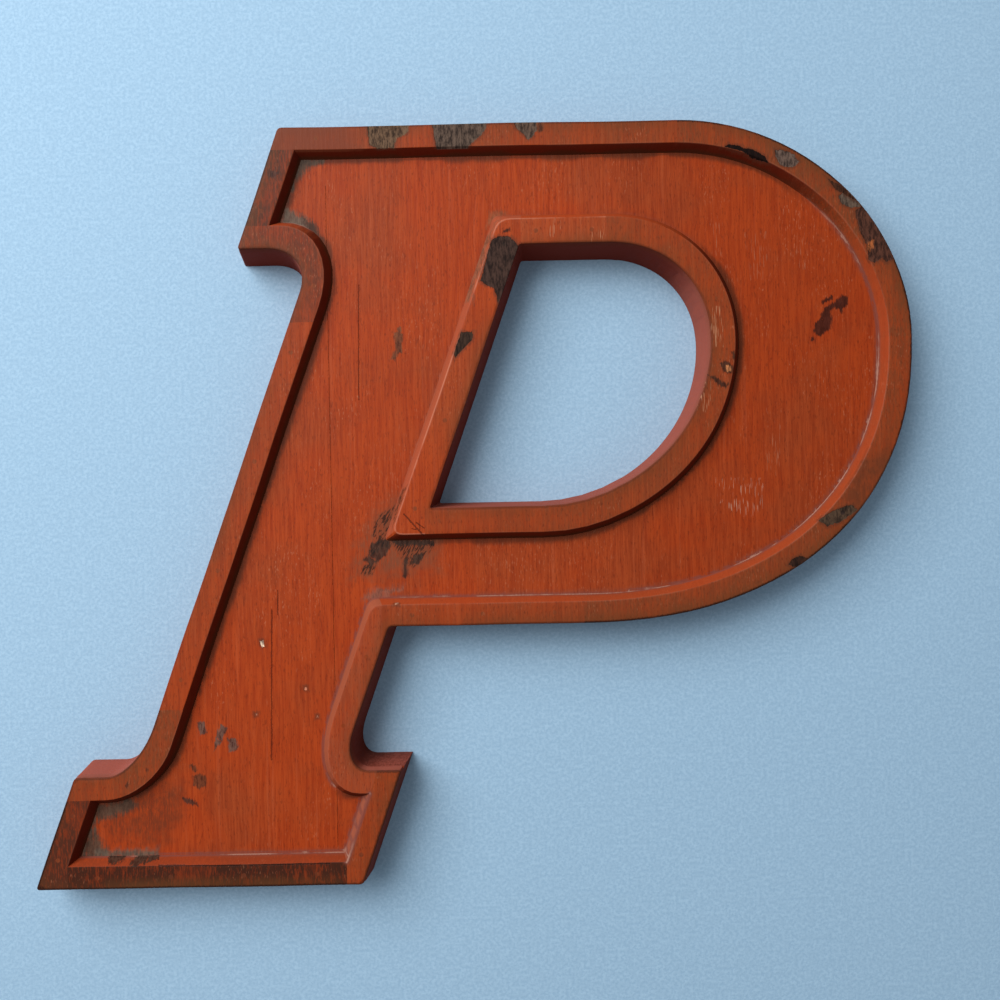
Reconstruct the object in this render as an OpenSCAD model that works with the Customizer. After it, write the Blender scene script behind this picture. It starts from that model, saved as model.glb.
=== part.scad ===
// Slanted slab-serif capital P in painted wood, lying on its back with the face up.
// Three edge-glued boards are sawn to the letter, and strips planted round the outline
// and round the counter leave a sunk panel between them. All walls are drafted.

/* [Letter] */
// Height of the face from the foot to the cap line
cap_h = 304.8; // [290:0.2:330]
// Lean of the letter from upright, in degrees
slant = 19.7; // [16:0.1:22]
// Width of the stem, measured along a level line
stem_w = 81.6; // [76:0.2:90]
// Reach of the foot serif to the left of the stem
foot_left = 25.1; // [22:0.1:32]
// Reach of the foot serif to the right of the stem
foot_right = 24.9; // [22:0.1:32]
// Height of the foot serif on the left
foot_left_h = 44.8; // [40:0.2:50]
// Height of the foot serif on the right
foot_right_h = 45.6; // [40:0.2:50]
// Reach of the head serif to the left of the stem
head_reach = 31.2; // [28:0.1:38]
// Depth of the head serif below the cap line
head_depth = 48.6; // [44:0.2:56]

/* [Bowl] */
// Reach of the bowl from the left of the stem, at its widest height
bowl_reach = 254; // [246:0.5:262]
// Depth below the cap line at which the bowl is widest
bowl_wide = 88.8; // [83:0.2:93]
// Place along the lean where the upper quarter of the bowl starts
crown_start = 161; // [154:0.5:168]
// Place along the lean where the lower quarter of the bowl starts
belly_start = 120; // [112:0.5:128]
// Height of the bowl, from the cap line down to its underside
bowl_h = 201.4; // [198:0.2:207]
// Fullness of the upper quarter, where 2 is a true ellipse
crown_power = 1.95; // [1.9:0.01:2.2]
// Fullness of the lower quarter, where 2 is a true ellipse
belly_power = 2.25; // [1.9:0.01:2.4]

/* [Counter] */
// Left edge of the counter from the left of the stem
counter_left = 82.1; // [80:0.1:90]
// Depth of the counter's upper edge below the cap line
counter_drop = 48.6; // [45:0.2:54]
// Height of the counter
counter_h = 105.6; // [101:0.2:110]
// Reach of the counter from the left of the stem, at the bowl's widest height
counter_reach = 173; // [166:0.5:178]
// Place along the lean where the counter's upper quarter starts
counter_crown = 132; // [126:0.5:134]
// Place along the lean where the counter's lower quarter starts
counter_belly = 104; // [98:0.5:110]
// Fullness of the counter's upper quarter
counter_power = 2.12; // [1.9:0.01:2.3]
// Fullness of the counter's lower quarter
counter_low_power = 1.98; // [1.9:0.01:2.3]

/* [Boards and strips] */
// Thickness of the boards
board_t = 17; // [14:0.1:20]
// Height of the strips above the boards
strip_t = 4.8; // [3.5:0.1:6]
// Width of the outer strips at the face
strip_w = 9.1; // [8:0.1:11]
// Width of the outer strip at the side of the bowl
strip_side = 9.4; // [8:0.1:11]
// Width of the outer strip under the bowl
strip_under = 8.8; // [8:0.1:11]
// Width of the counter's strip beside the stem, at the face
counter_strip = 11; // [9:0.1:12]
// Width of the counter's strip at the side of the bowl
counter_strip_side = 9.8; // [9:0.1:12]
// Width of the counter's strips above and below the counter
counter_strip_over = 10.3; // [9:0.1:12]
// Draft of the sawn walls, in degrees
draft = 5; // [3:0.1:7]
// Slope of the strips' walls down to the panel, in degrees from upright
bevel = 28; // [20:0.5:32]
// Distance of the first glue joint from the right side of the stem's foot
joint_in = 14.4; // [7:0.1:16]
// Width of the middle board
board_w = 120; // [117:0.5:125]

/* [Curves at the serifs] */
// Width of the left foot bracket
foot_left_bw = 12.2; // [9:0.1:15]
// Height of the left foot bracket
foot_left_bh = 20.4; // [16:0.1:26]
// Width of the right foot bracket
foot_right_bw = 12.2; // [9:0.1:15]
// Height of the right foot bracket
foot_right_bh = 16.3; // [12:0.1:22]
// Width of the head bracket
head_bw = 19.3; // [15:0.1:23]
// Height of the head bracket
head_bh = 17.3; // [14:0.1:22]
// Width of the panel's curve at the left foot
panel_left_bw = 18.8; // [15:0.1:22]
// Height of the panel's curve at the left foot
panel_left_bh = 20.8; // [17:0.1:26]
// Width of the panel's curve at the right foot
panel_right_bw = 21; // [16:0.1:22]
// Height of the panel's curve at the right foot
panel_right_bh = 32; // [26:0.1:36]
// Width of the panel's curve at the head
panel_head_bw = 27.5; // [24:0.1:29]
// Height of the panel's curve at the head
panel_head_bh = 33; // [28:0.2:36]
// Rounding of the panel's corner under the bowl
panel_crotch = 4; // [3:0.1:8]
// Rounding of the letter's corner under the bowl
edge_crotch = 1.6; // [0.8:0.1:3]
// Rounding of the counter strips' two outer corners at the face
counter_corner = 5; // [3:0.1:8]
// Rounding of the same two corners at the panel
counter_corner_low = 2.5; // [1.5:0.1:6]
// Rounding of the counter's own two corners
hole_corner = 1; // [0.6:0.1:3]

/* [Brads] */
// Diameter of a brad's shank
brad_d = 1.2; // [1:0.1:1.6]
// Diameter of a brad's head
brad_head_d = 1.9; // [1.7:0.1:2.4]
// Thickness of a brad's head
brad_head_t = 0.6; // [0.4:0.1:1]
// Length of a brad
brad_l = 12.7; // [9:0.1:15]
// Length of a brad's point
brad_point = 1.8; // [1:0.1:2.5]
// Distance of a strip's first brad from its joint
brad_end = 12; // [9:0.5:15]
// Distance of a brad from the outer corner of a serif
brad_corner = 9; // [7.5:0.1:11]
// Distance from the straight end of a bracket to the nearest brad
brad_bracket = 2; // [1:0.1:4]

/* [Hidden] */

// Facets of the parts of a quarter of the bowl, of a bracket, a rounded corner and a brad
bow_n = 26;
bow_end_n = 4;
bracket_n = 10;
corner_n = 5;
brad_n = 8;

paint = "orangered";
steel = "dimgray";

face_z = board_t + strip_t;
rim_across = 1 / cos(slant);
edge_run = face_z * tan(draft);
head_under = cap_h - head_depth;
arm_under = cap_h - bowl_h;
bowl_mid = cap_h - bowl_wide;
counter_high = cap_h - counter_drop;
counter_low = counter_high - counter_h;
joint_a = stem_w + joint_in;
joint_b = joint_a + board_w;

// Straight length left on a bracket's strip beyond its curve, and how far the counter's
// lower joint lies left of the counter's corner
joint_clear = 6;
counter_joint_left = 2;

// A place given from the left of the stem and up from the foot, moved over by the lean
function leant(p) = [p.x + p.y * tan(slant), p.y];

// The widest point of the bowl and the centres that its quarters are drawn from
bowl_right = leant([bowl_reach, bowl_mid]).x;
crown = leant([crown_start, bowl_mid]);
belly = leant([belly_start, bowl_mid]);
counter_right = leant([counter_reach, bowl_mid]).x;
hole_crown = leant([counter_crown, bowl_mid]);
hole_belly = leant([counter_belly, bowl_mid]);

// The frame's origin is under the middle of the back, so the letter is shifted by this much
back_left = -foot_left - edge_run * rim_across - edge_run * tan(slant);
origin = [(back_left + bowl_right + edge_run) / 2, cap_h / 2];

// A point of a full curve round a centre, with its own half widths and fullness
function bow_at(c, half, power, a) =
    [c.x + half.x * sign(cos(a)) * pow(abs(cos(a)), 2 / power),
     c.y + half.y * sign(sin(a)) * pow(abs(sin(a)), 2 / power)];
function bow(c, half, power, from, to, n) =
    [for (i = [0:n]) bow_at(c, half, power, from + (to - from) * i / n)];

// The angle at which such a curve crosses the second glue joint
function joint_angle(c, half, power) = acos(pow((joint_b - c.x) / half.x, power / 2));

// A hollow quarter at a serif, round a centre that lies outside the letter
function bracket(c, half, from, to) = [
    for (i = [0:bracket_n])
    let (a = from + (to - from) * i / bracket_n)
    leant([c.x + half.x * cos(a), c.y + half.y * sin(a)])
];

// A corner rounded by a curve that leaves one side and meets the other
function toward(p, q, d) = p + (q - p) * d / norm(q - p);
function rounded(before, p, after, size) = [
    for (i = [0:corner_n])
    let (s = i / corner_n, a = toward(p, before, size), b = toward(p, after, size))
    (1 - s) * (1 - s) * a + 2 * s * (1 - s) * p + s * s * b
];
function last(list) = list[len(list) - 1];
function reversed(list) = [for (i = [len(list) - 1:-1:0]) list[i]];

// An edge of the letter at a height above the back. It holds how far the edge lies inside
// the face's outline (in general, beside the bowl, under the bowl), the sizes of the left
// foot, right foot and head brackets there, and the rounding of the corner under the bowl
function grown(size, in) = [size.x + in * rim_across, size.y + in];
function sawn_at(z) =
    let (in = (z - face_z) * tan(draft))
    [[in, in, in], grown([foot_left_bw, foot_left_bh], in),
     grown([foot_right_bw, foot_right_bh], in), grown([head_bw, head_bh], in), edge_crotch];
function panel_at(z) =
    let (in = (face_z - z) * tan(bevel))
    [[strip_w + in, strip_side + in, strip_under + in],
     grown([panel_left_bw, panel_left_bh], in), grown([panel_right_bw, panel_right_bh], in),
     grown([panel_head_bw, panel_head_bh], in), panel_crotch];

// The corners and curves of such an edge, counter-clockwise from the left of the foot
function in_v(e) = e[0][0];
function in_u(e) = e[0][0] * rim_across;
function foot_left_low(e) = leant([in_u(e) - foot_left, in_v(e)]);
function foot_right_low(e) = leant([stem_w + foot_right - in_u(e), in_v(e)]);
function foot_right_top(e) = leant([stem_w + foot_right - in_u(e), foot_right_h - in_v(e)]);
function foot_right_curve(e) =
    bracket([stem_w - in_u(e), foot_right_h - in_v(e)] + e[2], e[2], 270, 180);
function under(e) = arm_under + e[0][2];
function crotch_curve(e) =
    rounded(last(foot_right_curve(e)), leant([stem_w - in_u(e), under(e)]),
            [belly.x, under(e)], e[4]);
function belly_half(e) = [bowl_right - e[0][1] - belly.x, bowl_mid - under(e)];
function belly_angle(e) = joint_angle(belly, belly_half(e), belly_power);
function belly_start_curve(e) =
    bow(belly, belly_half(e), belly_power, -90, -belly_angle(e), bow_end_n);
function belly_curve(e) =
    bow(belly, belly_half(e), belly_power, -belly_angle(e), 0, bow_n);
function crown_half(e) = [bowl_right - e[0][1] - crown.x, cap_h - in_v(e) - bowl_mid];
function crown_curve(e) = bow(crown, crown_half(e), crown_power, 0, 90, bow_n);
function cap_at(e, x) = [x, cap_h - in_v(e)];
function head_top(e) = leant([in_u(e) - head_reach, cap_h - in_v(e)]);
function head_low(e) = leant([in_u(e) - head_reach, head_under + in_v(e)]);
function head_curve(e) =
    bracket([in_u(e), head_under + in_v(e)] - e[3], e[3], 90, 0);
function foot_left_curve(e) =
    bracket([in_u(e) - e[1].x, foot_left_h - in_v(e) + e[1].y], e[1], 0, -90);
function foot_left_top(e) = leant([in_u(e) - foot_left, foot_left_h - in_v(e)]);

// How far an edge of the counter lies outside the counter's outline on the face: beside the
// stem, at the side of the bowl, above and below
function hole_at(z) = [1, 1, 1] * (z - face_z) * tan(draft);
function island_at(z) = [counter_strip, counter_strip_side, counter_strip_over]
    + [1, 1, 1] * (face_z - z) * tan(bevel);
function island_corner_at(z) =
    counter_corner_low + (counter_corner - counter_corner_low) * (z - board_t) / strip_t;

// The corners and curves of such an edge, counter-clockwise from the left of its foot
function hole_left(out, v) = leant([counter_left - out.x * rim_across, v]);
function hole_foot(out, size) =
    rounded(hole_left(out, counter_high), hole_left(out, counter_low - out.z),
            [hole_belly.x, counter_low - out.z], size);
function hole_head(out, size) =
    rounded([hole_crown.x, counter_high + out.z], hole_left(out, counter_high + out.z),
            hole_left(out, counter_low), size);
function hole_belly_half(out) =
    [counter_right + out.y - hole_belly.x, bowl_mid - counter_low + out.z];
function hole_crown_half(out) =
    [counter_right + out.y - hole_crown.x, counter_high + out.z - bowl_mid];
function hole_belly_angle(out) =
    joint_angle(hole_belly, hole_belly_half(out), counter_low_power);
function hole_crown_angle(out) = joint_angle(hole_crown, hole_crown_half(out), counter_power);
function hole_belly_start(out) = bow(hole_belly, hole_belly_half(out), counter_low_power,
    -90, -hole_belly_angle(out), bow_end_n);
function hole_belly_curve(out) = bow(hole_belly, hole_belly_half(out), counter_low_power,
    -hole_belly_angle(out), 0, bow_n);
function hole_crown_curve(out) = bow(hole_crown, hole_crown_half(out), counter_power,
    0, hole_crown_angle(out), bow_n);
function hole_crown_end(out) = bow(hole_crown, hole_crown_half(out), counter_power,
    hole_crown_angle(out), 90, bow_end_n);

// Leaves out the first point of a curve, where it repeats the last point of the one before
function rest(list) = [for (i = [1:len(list) - 1]) list[i]];

// The triangles that fill an outline: corner after corner is cut off, where the cut is
// clear of the outline's other points
function turn(a, b, c) = cross(b - a, c - b);
function covers(a, b, c, p) = turn(a, b, p) >= 0 && turn(b, c, p) >= 0 && turn(c, a, p) >= 0;
function clear(pts, ring, i) =
    let (n = len(ring), a = pts[ring[(i + n - 1) % n]], b = pts[ring[i]],
         c = pts[ring[(i + 1) % n]])
    turn(a, b, c) > 0.0001
    && len([for (j = [2:n - 2]) if (covers(a, b, c, pts[ring[(i + j) % n]])) j]) == 0;
function next_corner(pts, ring, i) = clear(pts, ring, i) ? i : next_corner(pts, ring, i + 1);
function filled(pts, ring, done = []) =
    let (n = len(ring))
    n == 3 ? concat(done, [ring]) :
    let (i = next_corner(pts, ring, 0))
    filled(pts, [for (j = [0:n - 1]) if (j != i) ring[j]],
           concat(done, [[ring[(i + n - 1) % n], ring[i], ring[(i + 1) % n]]]));

// A solid between two outlines of as many points, one above the other
module between(low, high, z0, z1) {
    n = len(low);
    ring = [for (i = [0:n - 1]) i];
    polyhedron(
        points = concat([for (p = low) [p.x, p.y, z0]], [for (p = high) [p.x, p.y, z1]]),
        faces = concat(
            filled(low, ring),
            [for (f = filled(high, ring)) [n + f[2], n + f[1], n + f[0]]],
            [for (i = ring) [i, n + i, (i + 1) % n]],
            [for (i = ring) [(i + 1) % n, n + i, n + (i + 1) % n]]));
}

// Rows of brads follow the middle of each strip, clear of the joints
mid_strip = [[strip_w, strip_side, strip_under] / 2, [0, 0], [0, 0], [0, 0], 0];
mid_u = in_u(mid_strip);
counter_mid = island_at(face_z) / 2;
function spaced(from, to, count) = [for (i = [0:count - 1]) from + (to - from) * i / (count - 1)];

// Heights and places where one strip ends and the next begins
foot_joint = foot_left_h + max(foot_left_bh, panel_left_bh) + joint_clear;
head_joint = head_under - max(head_bh, panel_head_bh - strip_w) - joint_clear;
crotch_joint = last(crotch_curve(panel_at(face_z))).x;
base_from = foot_left_low(panel_at(face_z)).x;
base_to = foot_right_low(panel_at(face_z)).x;
counter_foot_joint = hole_left(hole_at(face_z), counter_low).x - counter_joint_left;
counter_head_joint = hole_head(hole_at(face_z), hole_corner)[0].x;

top_brads = [for (x = spaced(head_top(mid_strip).x + brad_end, crown.x - brad_end, 4))
    cap_at(mid_strip, x)];
crown_brads = [for (a = [80, 45, 10]) bow_at(crown, crown_half(mid_strip), crown_power, a)];
belly_brads = [for (a = [-12, -38, -72]) bow_at(belly, belly_half(mid_strip), belly_power, a)];
arm_brads = [for (x = spaced(crotch_joint + brad_end, belly.x - brad_end, 3))
    [x, under(mid_strip)]];
stem_right_brads = [for (v = spaced(foot_right_h + foot_right_bh + brad_bracket,
    arm_under - brad_end, 2)) leant([stem_w - mid_u, v])];
foot_right_brads = [for (v = spaced(brad_end, foot_right_h - brad_end, 2))
    leant([stem_w + foot_right - mid_u, v])];
base_brads = [for (x = spaced(base_from + brad_end, base_to - brad_end, 4))
    [x, in_v(mid_strip)]];
foot_left_brads = [for (v = spaced(brad_end, foot_left_h - strip_w - brad_end / 2, 2))
    leant([mid_u - foot_left, v])];
bracket_left_brads = [leant([brad_corner - foot_left, foot_left_h - in_v(mid_strip)]),
    leant([mid_u, foot_left_h + foot_left_bh - brad_bracket])];
stem_left_brads = [for (v = spaced(foot_joint + brad_end, head_joint - brad_end, 4))
    leant([mid_u, v])];
bracket_head_brads = [leant([mid_u, head_under - head_bh + brad_bracket]),
    leant([brad_corner - head_reach, head_under + in_v(mid_strip)])];
head_brads = [for (v = spaced(head_under + strip_w + brad_end / 2,
    cap_h - strip_w - brad_end / 2, 2)) leant([mid_u - head_reach, v])];
counter_stem_brads = [for (v = spaced(counter_low, counter_high, 4))
    hole_left(counter_mid, v)];
counter_top_brads = [for (x = spaced(counter_head_joint + brad_end / 2,
    hole_crown.x - brad_end / 2, 2)) [x, counter_high + counter_mid.z]];
counter_bowl_brads = concat(
    [for (a = [65, 20]) bow_at(hole_crown, hole_crown_half(counter_mid), counter_power, a)],
    [for (a = [-20, -50, -78])
        bow_at(hole_belly, hole_belly_half(counter_mid), counter_low_power, a)]);
counter_arm_brads = [for (x = spaced(counter_foot_joint + brad_end / 2,
    hole_belly.x - brad_end / 2, 2)) [x, counter_low - counter_mid.z]];
all_brads = concat(top_brads, crown_brads, belly_brads, arm_brads, stem_right_brads,
    foot_right_brads, base_brads, foot_left_brads, bracket_left_brads, stem_left_brads,
    bracket_head_brads, head_brads, counter_stem_brads, counter_top_brads,
    counter_bowl_brads, counter_arm_brads);

module brads(places) {
    for (p = places)
        translate([p.x, p.y, face_z - brad_l]) {
            hull() {
                cylinder(d = brad_d / 4, h = brad_point, $fn = brad_n);
                translate([0, 0, brad_point])
                    cylinder(d = brad_d, h = brad_l - brad_point, $fn = brad_n);
            }
            translate([0, 0, brad_l - brad_head_t])
                cylinder(d = brad_head_d, h = brad_head_t, $fn = brad_n);
        }
}

// A drafted piece of wood between its outlines at two heights, drilled by its brads
module piece(low, high, z0, z1, places) {
    color(paint) translate([-origin.x, -origin.y, 0])
        difference() {
            between(low, high, z0, z1);
            brads(places);
        }
}

// Boards: each outline runs along the sawn edge, the glue joints and the counter
module board(low, high, from, to) {
    piece(low, high, 0, board_t, [for (p = all_brads) if (p.x > from && p.x < to) p]);
}

function left_outline(z) =
    let (s = sawn_at(z))
    concat([foot_left_low(s), [joint_a, in_v(s)], cap_at(s, joint_a), head_top(s), head_low(s)],
           head_curve(s), foot_left_curve(s), [foot_left_top(s)]);

module board_left() {
    board(left_outline(0), left_outline(board_t), -cap_h, joint_a);
}

function middle_outline(z) =
    let (s = sawn_at(z), h = hole_at(z))
    concat([[joint_a, in_v(s)], foot_right_low(s), foot_right_top(s)],
           foot_right_curve(s), crotch_curve(s), belly_start_curve(s),
           reversed(hole_belly_start(h)), reversed(hole_foot(h, hole_corner)),
           reversed(hole_head(h, hole_corner)), reversed(hole_crown_end(h)),
           [cap_at(s, joint_b), cap_at(s, joint_a)]);

module board_middle() {
    board(middle_outline(0), middle_outline(board_t), joint_a, joint_b);
}

function right_outline(z) =
    let (s = sawn_at(z), h = hole_at(z))
    concat(belly_curve(s), rest(crown_curve(s)), [cap_at(s, joint_b)],
           reversed(hole_crown_curve(h)), rest(reversed(hole_belly_curve(h))));

module board_right() {
    board(right_outline(0), right_outline(board_t), joint_b, 2 * cap_h);
}

// Strips: each outline runs along the sawn edge and back along the panel's edge
module strip(low, high, places) {
    piece(low, high, board_t, face_z, places);
}

function top_outline(z) =
    let (s = sawn_at(z), p = panel_at(z))
    [cap_at(s, crown.x), head_top(s), leant([in_u(s) - head_reach, head_top(p).y]),
     head_top(p), cap_at(p, crown.x)];

module rim_top() {
    strip(top_outline(board_t), top_outline(face_z), top_brads);
}

function crown_outline(z) = concat(crown_curve(sawn_at(z)), reversed(crown_curve(panel_at(z))));

module rim_bowl_upper() {
    strip(crown_outline(board_t), crown_outline(face_z), crown_brads);
}

function belly_outline(z) =
    let (s = sawn_at(z), p = panel_at(z))
    concat(belly_start_curve(s), rest(belly_curve(s)),
           reversed(belly_curve(p)), rest(reversed(belly_start_curve(p))));

module rim_bowl_lower() {
    strip(belly_outline(board_t), belly_outline(face_z), belly_brads);
}

// Where the level line through the stem's right edge meets the joint under the bowl
function crotch_end(s, x) = [x, (x - stem_w + in_u(s)) / tan(slant)];

function arm_outline(z) =
    let (s = sawn_at(z), p = panel_at(z), from = last(crotch_curve(p)))
    concat([crotch_end(s, from.x)], crotch_curve(s),
           [[belly.x, under(s)], [belly.x, under(p)], from]);

module rim_arm() {
    strip(arm_outline(board_t), arm_outline(face_z), arm_brads);
}

function stem_right_outline(z) =
    let (s = sawn_at(z), p = panel_at(z))
    concat([leant([stem_w + foot_right - in_u(p), foot_right_h - in_v(s)])],
           foot_right_curve(s), [crotch_end(s, last(crotch_curve(p)).x)],
           reversed(crotch_curve(p)), reversed(foot_right_curve(p)), [foot_right_top(p)]);

module rim_stem_right() {
    strip(stem_right_outline(board_t), stem_right_outline(face_z), stem_right_brads);
}

function foot_right_outline(z) =
    let (s = sawn_at(z), p = panel_at(z))
    [[foot_right_low(p).x, in_v(s)], foot_right_low(s), foot_right_top(s),
     leant([stem_w + foot_right - in_u(p), foot_right_h - in_v(s)]),
     foot_right_top(p), foot_right_low(p)];

module rim_foot_right() {
    strip(foot_right_outline(board_t), foot_right_outline(face_z), foot_right_brads);
}

function base_outline(z) =
    let (s = sawn_at(z), p = panel_at(z))
    [[foot_left_low(p).x, in_v(s)], [foot_right_low(p).x, in_v(s)],
     foot_right_low(p), foot_left_low(p)];

module rim_base() {
    strip(base_outline(board_t), base_outline(face_z), base_brads);
}

function foot_left_outline(z) =
    let (s = sawn_at(z), p = panel_at(z))
    [leant([in_u(s) - foot_left, foot_left_top(p).y]), foot_left_low(s),
     [foot_left_low(p).x, in_v(s)], foot_left_low(p), foot_left_top(p)];

module rim_foot_left() {
    strip(foot_left_outline(board_t), foot_left_outline(face_z), foot_left_brads);
}

function bracket_left_outline(z) =
    let (s = sawn_at(z), p = panel_at(z))
    concat([leant([in_u(s), foot_joint])], foot_left_curve(s),
           [foot_left_top(s), leant([in_u(s) - foot_left, foot_left_top(p).y]),
            foot_left_top(p)],
           reversed(foot_left_curve(p)), [leant([in_u(p), foot_joint])]);

module rim_bracket_left() {
    strip(bracket_left_outline(board_t), bracket_left_outline(face_z), bracket_left_brads);
}

function stem_left_outline(z) =
    let (s = sawn_at(z), p = panel_at(z))
    [leant([in_u(s), head_joint]), leant([in_u(s), foot_joint]),
     leant([in_u(p), foot_joint]), leant([in_u(p), head_joint])];

module rim_stem_left() {
    strip(stem_left_outline(board_t), stem_left_outline(face_z), stem_left_brads);
}

function bracket_head_outline(z) =
    let (s = sawn_at(z), p = panel_at(z))
    concat([leant([in_u(s) - head_reach, head_low(p).y]), head_low(s)], head_curve(s),
           [leant([in_u(s), head_joint]), leant([in_u(p), head_joint])],
           reversed(head_curve(p)), [head_low(p)]);

module rim_bracket_head() {
    strip(bracket_head_outline(board_t), bracket_head_outline(face_z), bracket_head_brads);
}

function head_outline(z) =
    let (s = sawn_at(z), p = panel_at(z))
    [leant([in_u(s) - head_reach, head_top(p).y]), leant([in_u(s) - head_reach, head_low(p).y]),
     head_low(p), head_top(p)];

module rim_head() {
    strip(head_outline(board_t), head_outline(face_z), head_brads);
}

// Strips round the counter: each outline runs outside and back along the counter
function counter_stem_outline(z) =
    let (h = hole_at(z), o = island_at(z), head = hole_head(h, hole_corner)[0])
    concat([[head.x, counter_high + o.z]], hole_head(o, island_corner_at(z)),
           hole_foot(o, island_corner_at(z)),
           [[counter_foot_joint, counter_low - o.z], [counter_foot_joint, counter_low - h.z]],
           reversed(hole_foot(h, hole_corner)), reversed(hole_head(h, hole_corner)));

module counter_rim_stem() {
    strip(counter_stem_outline(board_t), counter_stem_outline(face_z), counter_stem_brads);
}

function counter_top_outline(z) =
    let (h = hole_at(z), o = island_at(z), head = hole_head(h, hole_corner)[0])
    [[hole_crown.x, counter_high + o.z], [head.x, counter_high + o.z], head,
     [hole_crown.x, counter_high + h.z]];

module counter_rim_top() {
    strip(counter_top_outline(board_t), counter_top_outline(face_z), counter_top_brads);
}

function counter_bowl_outline(z) =
    let (h = hole_at(z), o = island_at(z))
    concat(hole_belly_start(o), rest(hole_belly_curve(o)), rest(hole_crown_curve(o)),
           rest(hole_crown_end(o)), reversed(hole_crown_end(h)),
           rest(reversed(hole_crown_curve(h))), rest(reversed(hole_belly_curve(h))),
           rest(reversed(hole_belly_start(h))));

module counter_rim_bowl() {
    strip(counter_bowl_outline(board_t), counter_bowl_outline(face_z), counter_bowl_brads);
}

function counter_arm_outline(z) =
    let (h = hole_at(z), o = island_at(z), foot = last(hole_foot(h, hole_corner)))
    [[counter_foot_joint, counter_low - o.z], [hole_belly.x, counter_low - o.z],
     [hole_belly.x, counter_low - h.z], foot, [counter_foot_joint, counter_low - h.z]];

module counter_rim_arm() {
    strip(counter_arm_outline(board_t), counter_arm_outline(face_z), counter_arm_brads);
}

module rim_brads() {
    color(steel) translate([-origin.x, -origin.y, 0]) brads(all_brads);
}

board_left();
board_middle();
board_right();
rim_top();
rim_bowl_upper();
rim_bowl_lower();
rim_arm();
rim_stem_right();
rim_foot_right();
rim_base();
rim_foot_left();
rim_bracket_left();
rim_stem_left();
rim_bracket_head();
rim_head();
counter_rim_stem();
counter_rim_top();
counter_rim_bowl();
counter_rim_arm();
rim_brads();
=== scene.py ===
"""A painted wooden sign letter P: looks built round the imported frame."""
import math

import bmesh
import bpy
import numpy as np
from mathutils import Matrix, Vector, kdtree, noise
from mathutils.bvhtree import BVHTree


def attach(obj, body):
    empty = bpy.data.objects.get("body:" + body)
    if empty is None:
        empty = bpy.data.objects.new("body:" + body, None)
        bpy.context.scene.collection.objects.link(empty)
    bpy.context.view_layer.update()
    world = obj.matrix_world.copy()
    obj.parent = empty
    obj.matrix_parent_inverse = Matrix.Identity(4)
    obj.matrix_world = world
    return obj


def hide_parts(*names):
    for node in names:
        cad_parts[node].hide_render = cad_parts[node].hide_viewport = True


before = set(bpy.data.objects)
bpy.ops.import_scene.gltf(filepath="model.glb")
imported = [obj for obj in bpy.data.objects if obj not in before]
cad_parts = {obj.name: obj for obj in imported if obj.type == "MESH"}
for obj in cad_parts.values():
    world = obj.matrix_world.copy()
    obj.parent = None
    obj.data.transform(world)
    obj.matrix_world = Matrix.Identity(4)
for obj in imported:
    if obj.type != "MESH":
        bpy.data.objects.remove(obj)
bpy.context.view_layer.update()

# The camera hangs straight over the letter, a forearm's length above the face, a little
# right of the middle. The letter lies turned by about a degree in the picture.
MM = 0.001
EYE = Vector((11.7, 2.2, 424.0)) * MM
LETTER_TURN = 1.1
LENS = 36.04

camera = bpy.data.objects.new("camera", bpy.data.cameras.new("camera"))
bpy.context.scene.collection.objects.link(camera)
camera.location = EYE
camera.rotation_euler = (0, 0, -math.radians(LETTER_TURN))
camera.data.sensor_width = 36
camera.data.lens = LENS
camera.data.shift_y = -0.003
camera.data.clip_start = 0.01
bpy.context.scene.camera = camera
bpy.context.scene.view_settings.view_transform = "Standard"

# The light is one wide soft lamp from the upper left, like a window, with a weak even
# light from all round.
WINDOW = Vector((-0.64, 0.56, 0.92))
window = bpy.data.objects.new("window", bpy.data.lights.new("window", "AREA"))
bpy.context.scene.collection.objects.link(window)
window.location = WINDOW
window.rotation_euler = (-WINDOW).to_track_quat("-Z", "Y").to_euler()
window.data.size = 1.0
window.data.energy = 20.5
room = bpy.data.worlds.new("room")
bpy.context.scene.world = room
room.use_nodes = True
room.node_tree.nodes["Background"].inputs["Color"].default_value = (0.88, 0.94, 1.0, 1)
room.node_tree.nodes["Background"].inputs["Strength"].default_value = 0.32


# The floor is a sheet of pale blue paper with a fine tooth. It lies under the whole letter
# and runs past the picture.
def colour(red, green, blue):
    """A colour given as it shows on a screen, 0 to 255, for a shader's socket."""
    return tuple(
        (c / 255 / 12.92 if c / 255 <= 0.04045 else ((c / 255 + 0.055) / 1.055) ** 2.4)
        for c in (red, green, blue)
    ) + (1.0,)


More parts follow.
